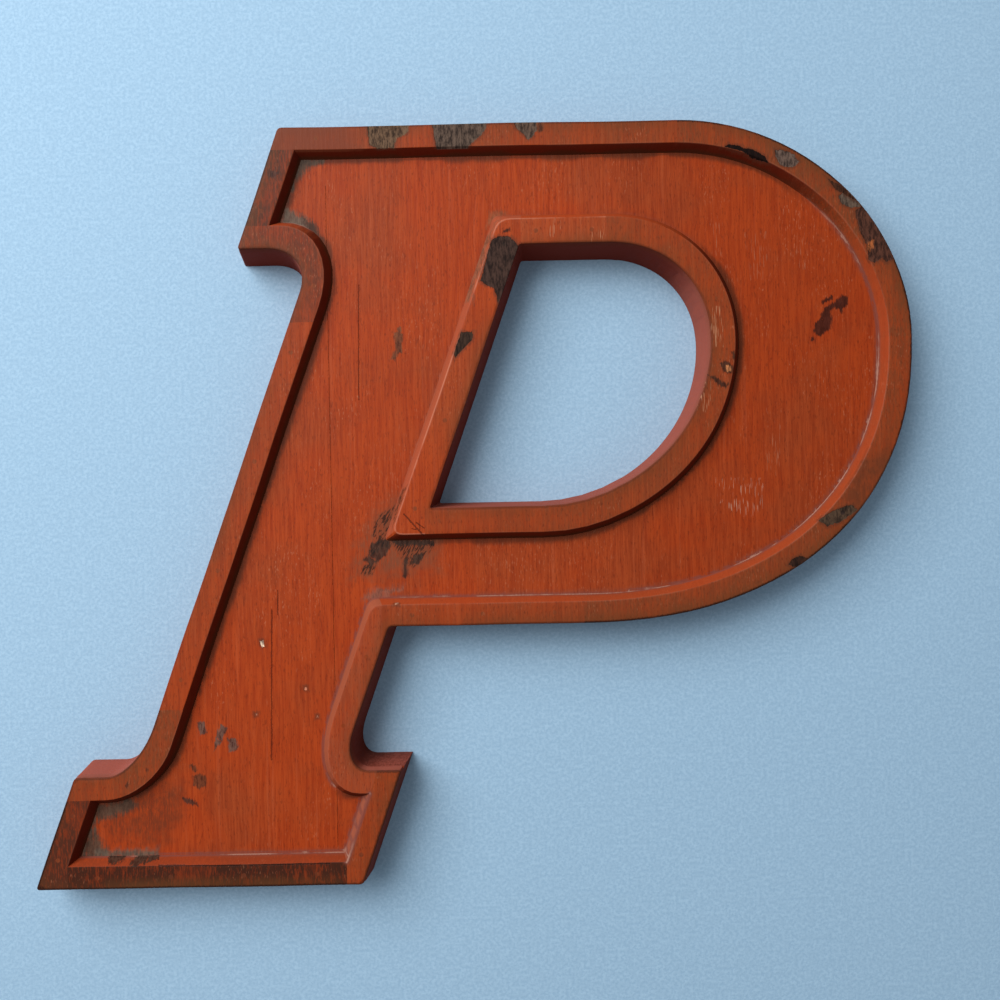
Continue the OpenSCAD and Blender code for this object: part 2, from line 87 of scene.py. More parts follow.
class Finish:
    """One material's nodes. Each method adds a node or a few and returns what they give out."""

    def __init__(self, name):
        self.material = bpy.data.materials.new(name)
        self.material.use_nodes = True
        self.nodes = self.material.node_tree.nodes
        self.links = self.material.node_tree.links
        self.shader = self.nodes["Principled BSDF"]
        self.place = self.add("ShaderNodeTexCoord", {}).outputs["Object"]

    def add(self, kind, inputs, **settings):
        node = self.nodes.new(kind)
        for key, value in settings.items():
            setattr(node, key, value)
        for key, value in inputs.items():
            self.set(node.inputs[key], value)
        return node

    def set(self, socket, value):
        if isinstance(value, bpy.types.NodeSocket):
            self.links.new(value, socket)
        else:
            socket.default_value = value

    def math(self, operation, a, b=0.0, c=0.0):
        return self.add("ShaderNodeMath", {0: a, 1: b, 2: c}, operation=operation).outputs[0]

    def vector(self, operation, a, b):
        return self.add("ShaderNodeVectorMath", {0: a, 1: b}, operation=operation).outputs[0]

    def times(self, *shares):
        """The product of some shares."""
        product = shares[0]
        for share in shares[1:]:
            product = self.math("MULTIPLY", product, share)
        return product

    def step(self, value, low, high):
        """0 below low, 1 above high, smooth between. High may be below low."""
        node = self.add("ShaderNodeMapRange", {"Value": value}, interpolation_type="SMOOTHSTEP")
        flip = high < low
        node.inputs["From Min"].default_value = high if flip else low
        node.inputs["From Max"].default_value = low if flip else high
        node.inputs["To Min"].default_value = 1.0 if flip else 0.0
        node.inputs["To Max"].default_value = 0.0 if flip else 1.0
        return node.outputs[0]

    def noise(self, vector, scale, detail=2.0, roughness=0.5):
        """Noise of so many lumps a metre."""
        node = self.add("ShaderNodeTexNoise", {"Vector": vector, "Scale": scale,
                                               "Detail": detail, "Roughness": roughness})
        return node.outputs["Fac"]

    def mix(self, share, a, b):
        node = self.add("ShaderNodeMix", {}, data_type="RGBA")
        self.set(node.inputs["Factor"], share)
        self.set(node.inputs["A"], a)
        self.set(node.inputs["B"], b)
        return node.outputs["Result"]

    def bump(self, height, depth):
        """Relief of a depth in millimetres."""
        return self.add("ShaderNodeBump", {"Height": height, "Strength": 1.0,
                                           "Distance": depth * MM}).outputs[0]


FLOOR_HALF = 3.0
bpy.ops.object.select_all(action="DESELECT")
bpy.ops.mesh.primitive_plane_add(size=2 * FLOOR_HALF, location=(0, 0, 0))
floor = bpy.context.object
floor.name = "paper_floor"
paper = Finish("pale_blue_paper")
tooth = paper.noise(paper.place, 760.0, 3.0, 0.65)
mottle = paper.noise(paper.place, 260.0, 2.0)
pale = paper.mix(paper.step(tooth, 0.35, 0.65), colour(148, 180, 205), colour(163, 194, 217))
paper.set(paper.shader.inputs["Base Color"],
          paper.mix(paper.times(paper.step(mottle, 0.4, 0.65), 0.35), pale, colour(150, 181, 205)))
paper.set(paper.shader.inputs["Normal"], paper.bump(tooth, 0.12))
paper.shader.inputs["Roughness"].default_value = 0.9
paper.shader.inputs["Specular IOR Level"].default_value = 0.2
floor.data.materials.append(paper.material)

# The base panel: three boards of pine, glued edge to edge and sawn round the letter with a
# drafted wall. Oil paint lies over the upright grain, and dust, knocks and cracks show in it.
FACE = 21.8
PANEL = 17.0
SAWN_WALL = 0.2
PANEL_WALL = 0.7
GRID = 2.0
EDGE_ROUND = 0.5
CORNER_ROUND = 1.4
TURN_ROUND = 2.2
LIP_ROUND = 0.3
HAND_WAVE = 0.35
WAVE_LENGTH = 34.0
WAVE_REACH = 3.5
SAME_PLACE = 0.03
FIRST_GLUE_JOINT = -56.7
KNOCK_LEAN = 29.0

WOOD = [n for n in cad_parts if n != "rim_brads"]
STRIPS = [n for n in WOOD if not n.startswith("board")]


def corner_tree(node):
    """The corners of a piece of wood, to be looked up by place."""
    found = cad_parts[node].data.vertices
    tree = kdtree.KDTree(len(found))
    for i, v in enumerate(found):
        tree.insert(v.co / MM, i)
    tree.balance()
    return tree


def skin_tree(node):
    """The faces of a piece of wood, to be looked up by place."""
    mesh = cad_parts[node].data
    return BVHTree.FromPolygons([v.co / MM for v in mesh.vertices],
                                [tuple(f.vertices) for f in mesh.polygons])


corners = {n: corner_tree(n) for n in WOOD}
skins = {n: skin_tree(n) for n in WOOD}


def lies_on(others, node, start, end):
    """Whether a line lies all along on the skin of one of some other pieces."""
    return any(
        all(skins[other].find_nearest(p)[3] < SAME_PLACE for p in (start, (start + end) / 2, end))
        for other in others if other != node)


def breaks(node, start, end):
    """Where neighbouring pieces have corners along a line, as shares of its length."""
    along = end - start
    length = along.length
    found = []
    for other in WOOD:
        if other != node:
            for corner, _, _ in corners[other].find_range((start + end) / 2, length / 2):
                share = (corner - start).dot(along) / length ** 2
                beside = (corner - start - along * share).length
                clear = 0.3 < share * length < length - 0.3
                if beside < SAME_PLACE and clear and all(abs(share - f) > 0.002 for f in found):
                    found.append(share)
    return sorted(found)


def edges_of(node):
    """The letter's own edge lines in a strip, with how far each edge's wall faces the window:
    the outer arris, the lip over the panel and the foot of the wall."""
    mesh = bmesh.new()
    mesh.from_mesh(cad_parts[node].data)
    bmesh.ops.remove_doubles(mesh, verts=mesh.verts, dist=1e-6)
    mesh.normal_update()
    found = {"arris": [], "lip": [], "foot": []}
    to_window = Vector((WINDOW.x, WINDOW.y)).normalized()
    for e in mesh.edges:
        if len(e.link_faces) != 2:
            continue
        caps = [f for f in e.link_faces if abs(f.normal.z) > 0.99]
        walls = [f for f in e.link_faces if 0.03 < abs(f.normal.z) < PANEL_WALL]
        if len(caps) != 1 or len(walls) != 1:
            continue
        sawn = abs(walls[0].normal.z) < SAWN_WALL
        facing = Vector((walls[0].normal.x, walls[0].normal.y)).normalized().dot(to_window)
        if node.startswith("counter"):
            facing = min(facing, 0.0)
        start, end = (v.co / MM for v in e.verts)
        shares = [0.0] + breaks(node, start, end) + [1.0]
        stops = [start.lerp(end, share) for share in shares]
        for here, after in zip(stops, stops[1:]):
            if lies_on(STRIPS, node, here, after):
                continue
            line = (tuple(here), tuple(after), facing)
            if caps[0].normal.z > 0 and start.z > FACE - 0.1:
                found["arris" if sawn else "lip"].append(line)
            elif caps[0].normal.z < 0 and not sawn:
                found["foot"].append(line)
    mesh.free()
    return found


lines = {"arris": [], "lip": [], "foot": []}
for strip in STRIPS:
    for kind, found in edges_of(strip).items():
        lines[kind] += found


def distance_to(points, segments):
    """From each point to the nearest of some straight lines: how far, and that line's facing."""
    a = np.array([s[0] for s in segments])
    d = np.array([s[1] for s in segments]) - a
    facing = np.array([s[2] for s in segments])
    square = (d * d).sum(1)
    away = np.empty(len(points))
    faces = np.empty(len(points))
    for i in range(0, len(points), 2000):
        offset = points[i:i + 2000, None, :] - a[None]
        along = np.clip((offset * d[None]).sum(2) / square, 0, 1)
        gaps = ((offset - along[..., None] * d[None]) ** 2).sum(2)
        away[i:i + 2000] = np.sqrt(gaps.min(1))
        faces[i:i + 2000] = facing[gaps.argmin(1)]
    return away, faces


def chosen(mesh, test):
    """Selects the edges of a mesh in edit mode that pass a test."""
    for f in mesh.faces:
        f.select = False
    for e in mesh.edges:
        e.select = test(e)
    mesh.select_flush_mode()
    bmesh.update_edit_mesh(bpy.context.object.data)


def on_panel(point):
    return abs(point[2] - PANEL) < 0.05


def worked(node):
    """A hand-worked copy of a piece of wood: arrises eased, outline a little uneven."""
    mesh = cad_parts[node].data.copy()
    mesh.materials.clear()
    piece = bpy.data.objects.new("painted_" + node, mesh)
    bpy.context.scene.collection.objects.link(piece)
    bpy.ops.object.select_all(action="DESELECT")
    piece.select_set(True)
    bpy.context.view_layer.objects.active = piece
    bpy.ops.mesh.customdata_custom_splitnormals_clear()
    bpy.ops.object.mode_set(mode="EDIT")
    bpy.ops.mesh.select_mode(type="EDGE")
    bpy.ops.mesh.select_all(action="SELECT")
    bpy.ops.mesh.remove_doubles(threshold=1e-6)
    bpy.ops.mesh.dissolve_limited(angle_limit=math.radians(0.5))
    shape = bmesh.from_edit_mesh(mesh)
    for e in list(shape.edges):
        start, end = (v.co / MM for v in e.verts)
        v = e.verts[0]
        done = 0.0
        for share in breaks(node, start, end):
            _, v = bmesh.utils.edge_split(e, v, (share - done) / (1 - done))
            done = share
    for e in shape.edges:
        e.seam = lies_on(WOOD, node, *(v.co / MM for v in e.verts))
    for cut, size in (("corner", CORNER_ROUND), ("turn", TURN_ROUND), ("arris", EDGE_ROUND),
                      ("lip", LIP_ROUND)):
        def eased(e):
            if len(e.link_faces) != 2 or e.seam:
                return False
            slopes = sorted(abs(f.normal.z) for f in e.link_faces)
            sharp = e.calc_face_angle(0) > math.radians(25)
            if cut == "corner":
                return sharp and 0.03 < slopes[0] and slopes[1] < SAWN_WALL
            if cut == "turn":
                return sharp and e.is_convex and SAWN_WALL < slopes[0] and slopes[1] < PANEL_WALL
            low, high = (0.03, SAWN_WALL) if cut == "arris" else (SAWN_WALL, PANEL_WALL)
            foot = cut == "lip" and min(v.co.z for v in e.verts) < (PANEL + 0.1) * MM
            return slopes[1] > 0.99 and low < slopes[0] < high and not foot
        shape = bmesh.from_edit_mesh(mesh)
        chosen(shape, eased)
        bpy.ops.mesh.bevel(offset=size * MM, segments=3, affect="EDGES", clamp_overlap=True)
    low = [min(v.co[i] for v in mesh.vertices) for i in range(2)]
    high = [max(v.co[i] for v in mesh.vertices) for i in range(2)]
    for axis in range(2):
        along = Vector((1, 0, 0)) if axis == 0 else Vector((0, 1, 0))
        first = math.ceil(low[axis] / (GRID * MM))
        last = math.floor(high[axis] / (GRID * MM))
        for i in range(first, last + 1):
            bpy.ops.mesh.select_all(action="SELECT")
            bpy.ops.mesh.bisect(plane_co=along * i * GRID * MM, plane_no=along)
    bpy.ops.object.mode_set(mode="OBJECT")
    points = np.array([v.co for v in mesh.vertices]) / MM
    away = {}
    for kind, found in lines.items():
        away[kind], faces = distance_to(points, found)
        stored = mesh.attributes.new("to_" + kind, "FLOAT", "POINT")
        stored.data.foreach_set("value", away[kind].astype(np.float32))
        if kind == "foot":
            stored = mesh.attributes.new("facing", "FLOAT", "POINT")
            stored.data.foreach_set("value", faces.astype(np.float32))
    near = np.minimum(away["arris"], np.minimum(away["lip"], away["foot"]))
    for i, v in enumerate(mesh.vertices):
        if on_panel(points[i]):
            reach = 1.0 if near[i] <= 1 else 0.0
        elif points[i][2] < FACE - 0.7:
            reach = 1.0
        else:
            reach = max(0.0, 1 - near[i] / WAVE_REACH)
        push = noise.noise_vector(Vector((points[i][0], points[i][1], 0)) / WAVE_LENGTH)
        reach *= HAND_WAVE * points[i][2] / FACE * MM
        v.co.x += push.x * reach
        v.co.y += push.y * reach
    mesh.update()
    bpy.ops.object.shade_smooth_by_angle(angle=math.radians(20))
    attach(piece, "root")
    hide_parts(node)
    return piece


def stroke(start, end, half):
    """The outline of a straight stroke of a half width in millimetres."""
    start = Vector(start)
    end = Vector(end)
    across = (end - start).orthogonal().normalized() * half
    return [tuple(p) for p in (start + across, end + across, end - across, start - across)]


class Paint(Finish):
    """Orange-red oil paint brushed over upright grain, with its wear, and with painted light and shade
    on walls and edges.
    """

    def __init__(self, name):
        super().__init__(name)
        wobble = self.math("SUBTRACT", self.noise(self.place, 60.0, 1.0), 0.5)
        sideways = self.add("ShaderNodeCombineXYZ", {"X": self.math("MULTIPLY", wobble, 0.9 * MM)})
        self.grain = self.vector("ADD", self.place, sideways.outputs[0])
        self.fine = self.noise(self.upright(0.05), 950.0, 4.0, 0.75)
        self.streak = self.noise(self.upright(0.025), 480.0, 3.0, 0.6)
        self.pore = self.noise(self.upright(0.2), 2300.0, 1.0)
        self.speckle = self.noise(self.upright(0.2), 1400.0, 3.0, 0.7)
        self.patch = self.noise(self.place, 24.0, 4.0, 0.6)
        self.cloud = self.noise(self.upright(0.6), 60.0, 3.0, 0.6)
        self.rough = 0.46
        self.relief = self.math("ADD", self.math("MULTIPLY", self.fine, 0.6),
                                self.math("MULTIPLY", self.streak, 0.4))

    def upright(self, along):
        """The place along the grain, drawn out up the letter."""
        return self.vector("MULTIPLY", self.grain, (1, along, 0.5))

    def ragged(self, wide, fine, along=1.0):
        """The place, pushed about by noise: wide waves and fine teeth, in millimetres."""
        out = self.place
        for scale, reach in ((260.0, wide), (1300.0, fine)):
            drawn = self.vector("MULTIPLY", self.place, (1, along, 1))
            teeth = self.add("ShaderNodeTexNoise", {"Vector": drawn, "Scale": scale, "Detail": 2.0})
            push = self.vector("SUBTRACT", teeth.outputs["Color"], (0.5, 0.5, 0.5))
            push = self.vector("MULTIPLY", push, (2 * reach * MM, 2 * reach * MM, 0))
            out = self.vector("ADD", out, push)
        return out

    def outside(self, place, outlines):
        """How far a place is outside the nearest of some outlines, in millimetres: less than
        0 inside one. Each outline is given by its corners and has no hollow."""
        nearest = None
        for outline in outlines:
            middle = Vector((sum(p[0] for p in outline), sum(p[1] for p in outline)))
            middle /= len(outline)
            beyond = None
            for here, after in zip(outline, outline[1:] + outline[:1]):
                side = Vector((after[1] - here[1], here[0] - after[0])).normalized()
                if side.dot(Vector(here) - middle) < 0:
                    side.negate()
                dot = self.add("ShaderNodeVectorMath",
                               {0: place, 1: (side.x / MM, side.y / MM, 0)},
                               operation="DOT_PRODUCT").outputs["Value"]
                dot = self.math("SUBTRACT", dot, side.dot(Vector(here)))
                beyond = dot if beyond is None else self.math("MAXIMUM", beyond, dot)
            nearest = beyond if nearest is None else self.math("MINIMUM", nearest, beyond)
        return nearest

    def cover(self, share, shade):
        self.tone = self.mix(share, self.tone, shade)

    def coat(self, brown, depth=1.0, soil=(106, 58, 33)):
        """The paint itself: brighter and duller patches, brush streaks, pores and browning."""
        bright = self.mix(self.step(self.fine, 0.34, 0.64), colour(148, 49, 13), colour(168, 63, 20))
        dull = self.mix(self.step(self.fine, 0.34, 0.64), colour(136, 50, 19), colour(157, 65, 28))
        self.tone = self.mix(self.step(self.patch, 0.42, 0.7), bright, dull)
        streaky = self.step(self.streak, 0.5, 0.68)
        self.cover(self.times(streaky, 0.17 * depth), colour(126, 40, 13))
        self.cover(self.times(self.step(self.streak, 0.42, 0.3), 0.14), colour(190, 100, 64))
        veil = self.math("MULTIPLY_ADD", self.step(self.cloud, 0.3, 0.65), 0.5, 0.74)
        mottle = self.math("MULTIPLY_ADD", self.step(self.speckle, 0.62, 0.4), 0.5, 0.75)
        self.cover(self.times(veil, mottle, brown), colour(*soil))
        self.cover(self.times(self.step(self.pore, 0.6, 0.7), 0.45 * depth), colour(84, 28, 12))
        worn = self.times(self.step(self.pore, 0.36, 0.28), self.step(self.cloud, 0.46, 0.64))
        self.cover(self.times(worn, 0.4), colour(182, 112, 80))

    def walls(self, lit_wall, wall_dust):
        """Sawn walls are dusty and pinker. Walls turned from the window get painted shade: a deeper red
        on the panel's sloped walls and a dark red on the sawn ones. Sloped walls facing the window get
        painted light.
        """
        normal = self.add("ShaderNodeTexCoord", {}).outputs["Normal"]
        upward = self.add("ShaderNodeSeparateXYZ", {0: normal}).outputs["Z"]
        slope = self.math("ABSOLUTE", upward)
        to_window = Vector((WINDOW.x, WINDOW.y, 0)).normalized()
        turn = self.add("ShaderNodeVectorMath", {0: normal, 1: to_window},
                        operation="DOT_PRODUCT").outputs["Value"]
        shaded = self.step(turn, 0.2, -0.2)
        lit = self.step(turn, 0.0, 0.5)
        sloped = self.times(self.step(slope, 0.9, 0.6), self.step(slope, 0.25, 0.4))
        # Painted shade: sloped walls turned from the window are darkened to a deep red.
        self.cover(self.times(sloped, shaded, 0.92), colour(84, 21, 7))
        # Painted light: sloped walls facing the window are lightened toward the lit-wall colour, by the
        # lit-wall share.
        self.cover(self.times(sloped, lit, wall_dust), colour(*lit_wall))
        sawn = self.step(slope, 0.4, 0.25)
        self.cover(self.times(sawn, 0.75), colour(160, 86, 72))
        turned = self.step(turn, 0.4, -0.1)
        # Painted shade: sawn walls turned from the window are darkened to a dark red.
        self.cover(self.times(sawn, turned, 0.88), colour(104, 29, 10))
        self.rough = self.math("MULTIPLY_ADD", sawn, 0.35, self.rough)

    def edges(self, arris_dirt, arris_line, lip_line):
        """Hands have browned the outer arris, and a dark line runs along it, partly grime and partly
        painted shade of the rounded edge. The lip is rubbed pale, partly a painted highlight.
        At the walls' feet: painted shade on the side turned from the window, and on the lit side dust
        painted in its lit colours with a pale broken line."""
        arris, lip, foot, facing = (
            self.add("ShaderNodeAttribute", {}, attribute_name=a).outputs["Fac"]
            for a in ("to_arris", "to_lip", "to_foot", "facing"))
        ragged = self.math("MULTIPLY", self.math("SUBTRACT", self.pore, 0.5), 1.2)
        arris = self.math("ADD", arris, ragged)
        grime = self.times(self.step(arris, 6.0, 0.3), self.step(self.patch, 0.3, 0.6))
        self.cover(self.times(grime, arris_dirt), colour(92, 54, 28))
        # A dark line along the outer arris: partly grime, partly painted shade of the rounded edge.
        line = self.times(self.step(arris, 1.1, 0.45), self.step(self.cloud, 0.2, 0.45))
        self.cover(self.times(line, arris_line), colour(42, 20, 11))
        # A pale line along the lip: rubbed paint, partly a painted highlight on the edge.
        rub_and_highlight = self.times(self.step(lip, 0.6, 0.15), self.step(self.cloud, 0.34, 0.56))
        self.cover(self.times(rub_and_highlight, lip_line), colour(190, 118, 92))
        # Painted shade: a dark band on the panel at the feet of walls turned from the window.
        shaded = self.step(facing, 0.1, -0.35)
        lit = self.step(facing, -0.1, 0.35)
        reach = self.math("MULTIPLY_ADD", self.step(self.cloud, 0.3, 0.7), 2.6, 1.3)
        foot_shade = self.math("SUBTRACT", 1.0, self.math("DIVIDE", foot, reach))
        foot_shade = self.times(self.step(foot_shade, 0.0, 0.75), shaded)
        self.cover(self.times(foot_shade, 0.7), colour(66, 34, 18))
        # Lit side: dust at the walls' feet, painted only where the wall faces the window, in its lit
        # colours: a grey band, a grey-purple line and a pale broken line that is dust with a painted
        # highlight.
        foot = self.math("ADD", foot, self.math("MULTIPLY", ragged, 0.6))
        grey = self.times(self.step(foot, 2.6, 0.5), lit, self.step(self.cloud, 0.35, 0.6))
        self.cover(self.times(grey, 0.4), colour(116, 68, 52))
        self.cover(self.times(self.step(foot, 1.3, 0.5), lit, 0.7), colour(118, 66, 58))
        pale = self.times(self.step(foot, 0.7, 0.3), lit, self.step(self.cloud, 0.46, 0.58))
        self.cover(self.times(pale, 0.7), colour(176, 132, 114))

    def mark(self, kind, shade, outlines, height):
        """One group of marks of a kind and a colour, on the face, the panel or a wall."""
        red, green, blue = shade
        darker = colour(red * 0.58, green * 0.54, blue * 0.54)
        lighter = colour(red * 1.22, green * 1.2, blue * 1.18)
        on_level = 1.0
        if height:
            on_level = self.step(self.add("ShaderNodeSeparateXYZ", {0: self.place}).outputs["Z"],
                                 (height - 1.4) * MM, (height - 1.0) * MM)
        speckle = self.noise(self.upright(0.3), 900.0, 4.0, 0.75)
        ragged = self.math("MULTIPLY", self.math("SUBTRACT", speckle, 0.5), 3.0)
        mottled = self.mix(self.step(speckle, 0.36, 0.64), darker, lighter)
        splinter = self.noise(self.upright(0.22), 1300.0, 2.0, 0.6)
        if kind == "chip":
            away = self.outside(self.ragged(0.8, 0.55, 0.5), outlines)
            rim = self.times(self.step(self.math("ADD", away, ragged), 1.3, 0.2), on_level)
            self.cover(self.times(rim, 0.55), colour(84, 46, 30))
            bare = self.times(self.step(away, 0.15, -0.1), on_level)
            self.cover(bare, mottled)
            self.relief = self.math("SUBTRACT", self.relief, self.math("MULTIPLY", bare, 1.0))
            self.rough = self.math("MULTIPLY_ADD", bare, 0.35, self.rough)
        elif kind == "stain":
            away = self.outside(self.ragged(0.7, 0.5, 0.4), outlines)
            away = self.math("ADD", away, self.math("MULTIPLY",
                                                    self.math("SUBTRACT", splinter, 0.5), 2.6))
            self.cover(self.times(self.step(away, 0.5, -0.45), on_level, 0.88), mottled)
        elif kind == "splinters":
            inside = self.step(self.outside(self.ragged(1.2, 0.6, 0.5), outlines), 0.8, -0.8)
            self.cover(self.times(inside, on_level, 0.5), colour(112, 58, 36))
            torn = self.step(self.noise(self.leaning(), 1500.0, 2.0, 0.65), 0.48, 0.55)
            self.cover(self.times(inside, on_level, torn, 0.85), mottled)
        elif kind == "dust":
            away = self.math("ADD", self.outside(self.ragged(2.6, 0.8), outlines), ragged)
            away = self.math("ADD", away, self.math("MULTIPLY",
                                                    self.math("SUBTRACT", self.fine, 0.5), 6.0))
            soft = self.times(self.step(away, 1.8, -1.6), on_level, 0.9)
            self.cover(soft, self.mix(0.5, mottled, colour(*shade)))
        elif kind == "haze":
            soft = self.step(self.outside(self.ragged(5.0, 0.8), outlines), 5.0, -5.0)
            soft = self.times(soft, on_level, 0.8, self.step(
                self.math("ADD", self.speckle, self.patch), 0.6, 1.1))
            self.cover(soft, colour(*shade))
        elif kind == "flecks":
            inside = self.step(self.outside(self.ragged(1.5, 0.6), outlines), 0.5, -0.5)
            thin = self.step(self.noise(self.upright(0.06), 2600.0, 1.0), 0.6, 0.68)
            self.cover(self.times(inside, on_level, thin, 0.5), colour(*shade))
        elif kind == "crack":
            thin = self.step(self.outside(self.ragged(0.3, 0.3), outlines), 0.2, -0.05)
            self.cover(self.times(thin, on_level, 0.7), colour(*shade))
            self.relief = self.math("SUBTRACT", self.relief, thin)

    def leaning(self):
        """The place drawn out along a knock that leans from upright."""
        leant = self.add("ShaderNodeMapping", {"Vector": self.place,
                                               "Rotation": (0, 0, math.radians(KNOCK_LEAN))})
        return self.vector("MULTIPLY", leant.outputs[0], (1, 0.2, 0.5))

    def done(self):
        self.set(self.shader.inputs["Base Color"], self.tone)
        self.set(self.shader.inputs["Roughness"], self.rough)
        self.set(self.shader.inputs["Normal"], self.bump(self.relief, 0.17))
        self.shader.inputs["Specular IOR Level"].default_value = 0.1
        return self.material


def painted(node, marks=(), height=FACE, brown=0.2, depth=1.0, soil=(106, 58, 33),
            arris_dirt=0.5, arris_line=0.5, lip_line=0.1, lit_wall=(168, 68, 34), wall_dust=0.55):
    """A piece of wood with its own coat of paint and the marks on it."""
    piece = worked(node)
    paint = Paint("paint_" + node)
    paint.coat(brown, depth, soil)
    paint.walls(lit_wall, wall_dust)
    paint.edges(arris_dirt, arris_line, lip_line)
    for kind, shade, outlines in marks:
        on_wall = kind.startswith("wall_")
        paint.mark(kind.removeprefix("wall_"), shade, outlines, 0 if on_wall else height)
    piece.data.materials.append(paint.done())
    return piece


painted("board_left", height=PANEL, brown=0.05, depth=0.8, marks=[
    ("haze", (98, 46, 26), [
        [(-152, -136), (-130, -136), (-120, -126), (-120, -113), (-136, -113), (-150, -121)]]),
    ("dust", (74, 60, 48), [
        [(-156.6, -119.4), (-154.3, -126.8), (-147.3, -124.5), (-138.3, -120.6), (-138.6, -117.3)],
        [(-162.3, -141.7), (-150.5, -141.9), (-150.5, -139.4), (-156, -130)],
        [(-69.1, 138.4), (-65.8, 136.7), (-59.7, 138.2), (-52.4, 140.5), (-52.3, 142.1), (-69, 141.6)],
        [(-73.4, 125.4), (-72.6, 124.6), (-65, 138.7), (-68.2, 141.2)]]),
    ("dust", (92, 80, 68), [
        [(-162.3, -141.7), (-156, -130), (-155, -121.1), (-157.4, -120.2)],
        [(-156.2, -141.8), (-130.2, -141.9), (-130.9, -138.6), (-156.1, -138.5)],
        [(-76, 114.9), (-64.3, 110.2), (-60.3, 109.3), (-61.8, 113.8), (-64.6, 117.5),
         (-72.6, 121.4)]]),
    ("dust", (66, 38, 26), [
        [(-65.4, 117.6), (-65.1, 112.3), (-61.9, 107.3), (-58.7, 108.9), (-61.4, 114.6)],
        [(-61.9, 107.3), (-58.8, 99.1), (-56, 99.1), (-58.7, 108.9)]]),
    ("stain", (84, 66, 58), [
        [(-113.2, -86.9), (-112.1, -92.6), (-109.3, -91.4), (-110, -87)],
        [(-105.6, -93.5), (-103.2, -95.2), (-100.7, -89.6), (-103.9, -88.3)],
        [(-106.6, -98.4), (-103.2, -95.2), (-105.6, -93.5)],
        [(-101, -93.9), (-97.5, -93.9), (-96.8, -98.6), (-100.2, -99.2)]]),
    ("stain", (88, 48, 30), [
        [(-115.4, -112.9), (-112.6, -114.1), (-110.1, -113), (-109.4, -110.1), (-112, -108.1),
         (-115.3, -108.8)],
        [(-116.8, -103.9), (-114.9, -107.6), (-113.6, -106.4), (-115.2, -103.5)]]),
    ("stain", (62, 40, 32), [
        [(-119.7, -117.9), (-119.2, -119.3), (-116.7, -120.2), (-113.5, -121), (-113.7, -119.8),
         (-116.7, -117.5)]]),
    ("chip", (215, 190, 165), [stroke((-86.4, -54), (-85.6, -56.6), 0.5)]),
    ("chip", (176, 112, 86), [
        stroke((-68.7, -73.6), (-68.7, -74.6), 0.5), stroke((-89, -83.9), (-89, -84.7), 0.35),
        stroke((-64.1, -85.4), (-64.1, -86.2), 0.35)]),
    ("crack", (84, 28, 14), [
        stroke((-81.9, -41.9), (-83.1, -102.9), 0.16), stroke((-79.3, -33.9), (-79.5, -44), 0.12)]),
    ("crack", (96, 34, 16), [
        stroke((FIRST_GLUE_JOINT, 130), (FIRST_GLUE_JOINT, -140), 0.08)]),
])
painted("board_middle", height=PANEL, brown=0.05, depth=0.8, marks=[
    # Painted shadow: the stem's shade on the right foot's wall and the panel beside it, as a dark red
    # haze.
    ("wall_haze", (92, 34, 20), [
        [(-58, -108), (-50, -101), (-24, -101), (-30, -120), (-56, -118)]]),
    ("dust", (134, 76, 48), [[(8.8, 113), (10.2, 116.6), (13.1, 117.6), (16, 117), (12, 114)]]),
    ("dust", (130, 80, 64), [
        [(-44.5, -41), (-43.6, -37.4), (-41.1, -34.2), (-28.9, -34.2), (-28.9, -38.2),
         (-38.7, -38.7)]]),
    ("haze", (116, 66, 44), [
        [(-50, -30), (-14, -26), (-14, -12), (-26, 3), (-34, 3), (-46, -12)]]),
    ("splinters", (46, 28, 20), [
        [(-40.6, -12.2), (-33.4, -14.8), (-30.9, -10.4), (-29.1, -6.4), (-28.2, -0.7), (-30.2, 0.2),
         (-38.1, -4.2)],
        [(-32.6, -14.4), (-29.4, -21), (-24.6, -25.6), (-18.5, -21.2), (-15.5, -16)],
        [(-45.8, -28.4), (-41, -28.5), (-39.2, -24.1), (-45, -24.8)],
        [(-41.1, -15.8), (-42, -20.7), (-33.4, -16.8), (-31, -12), (-38, -12)]]),
    ("stain", (56, 40, 32), [
        [(-42, -20.7), (-38.6, -22.8), (-35.1, -20.5), (-33.4, -16.8), (-33.8, -14.4), (-37, -14.3),
         (-41.1, -15.8)],
        [(-44.7, -22.3), (-41.3, -24.8), (-38.6, -22.8), (-42, -20.7)],
        [(-28.4, -29.1), (-27.4, -30), (-26.3, -29.2), (-26.2, -22.7), (-27.8, -22.6)],
        [(-24.6, -24.3), (-22.2, -24.8), (-19.7, -22), (-20.5, -19.9), (-24.1, -21.1)],
        [(-32.6, -14.8), (-29.4, -16.9), (-15.5, -16.8), (-15.5, -14.8), (-29.3, -14.1)]]),
    ("stain", (96, 58, 38), [
        [(-30.1, 69.7), (-29.5, 61.2), (-27, 61.9), (-26.5, 69.2), (-28.1, 70.5)],
        [(-28.7, 71.9), (-28.5, 69.7), (-27.1, 69.7), (-27.1, 71.9)],
        [(-31.8, 59.2), (-30.3, 58.3), (-28.7, 61.5), (-29.9, 62.4)]]),
    ("stain", (104, 70, 54), [
        [(-68.3, -13.7), (-66.4, -18.2), (-63.3, -17.5), (-63, -13), (-65.9, -12.6)],
        [(-70.1, -20.2), (-68.9, -21), (-66.4, -18.2), (-68.3, -13.7)]]),
    ("crack", (84, 28, 14), [stroke((-44, 89.5), (-44.9, 42.7), 0.12)]),
])
